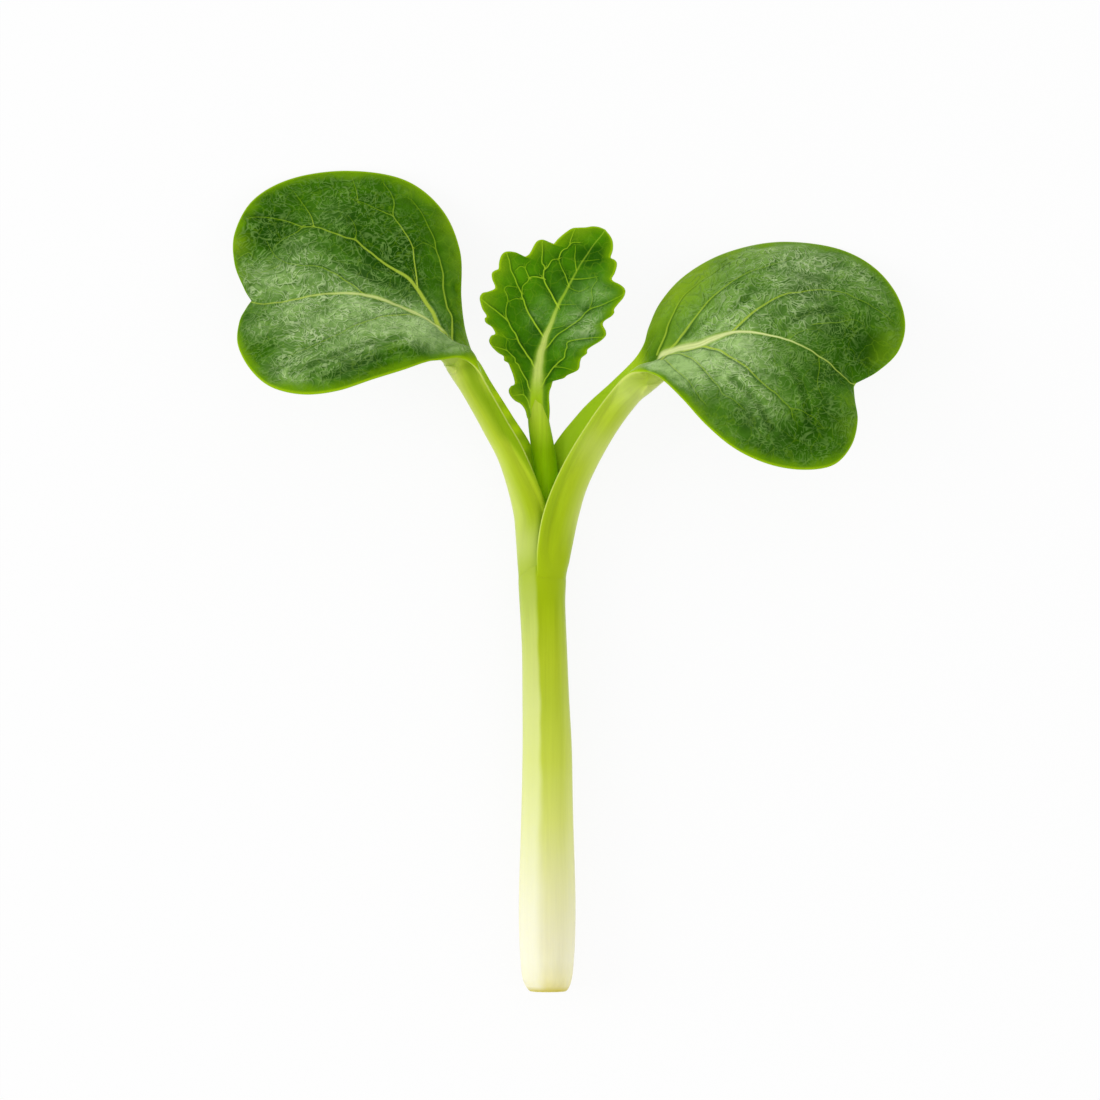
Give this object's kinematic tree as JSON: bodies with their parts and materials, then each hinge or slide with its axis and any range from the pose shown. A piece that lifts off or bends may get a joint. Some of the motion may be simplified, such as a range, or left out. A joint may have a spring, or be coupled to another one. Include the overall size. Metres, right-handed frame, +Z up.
{
  "type": "broccoli seedling",
  "caption": "Cut broccoli seedling lying flat: a round pale stem, folded heart-shaped seed leaves on channelled stalks, and a young scalloped leaf between them.",
  "frame": {"origin": "on the surface the seedling lies on, under the middle of its outline", "axes": "+Y along the stem from the cut end to the leaves, +Z up from the surface, +X to the right with the leaf tips pointing away"},
  "size_m": [0.0491, 0.0601, 0.0109],
  "materials": {
    "stem": "satin",
    "stalk": "satin",
    "seed_leaf": "satin",
    "young_leaf": "satin"
  },
  "bodies": {
    "root": {"stem": "stem", "left_leaf_stalk": "stalk", "right_leaf_stalk": "stalk", "left_seed_leaf": "seed_leaf", "right_seed_leaf": "seed_leaf", "young_leaf_stalk": "stalk", "young_leaf": "young_leaf"}
  },
  "joints": []
}
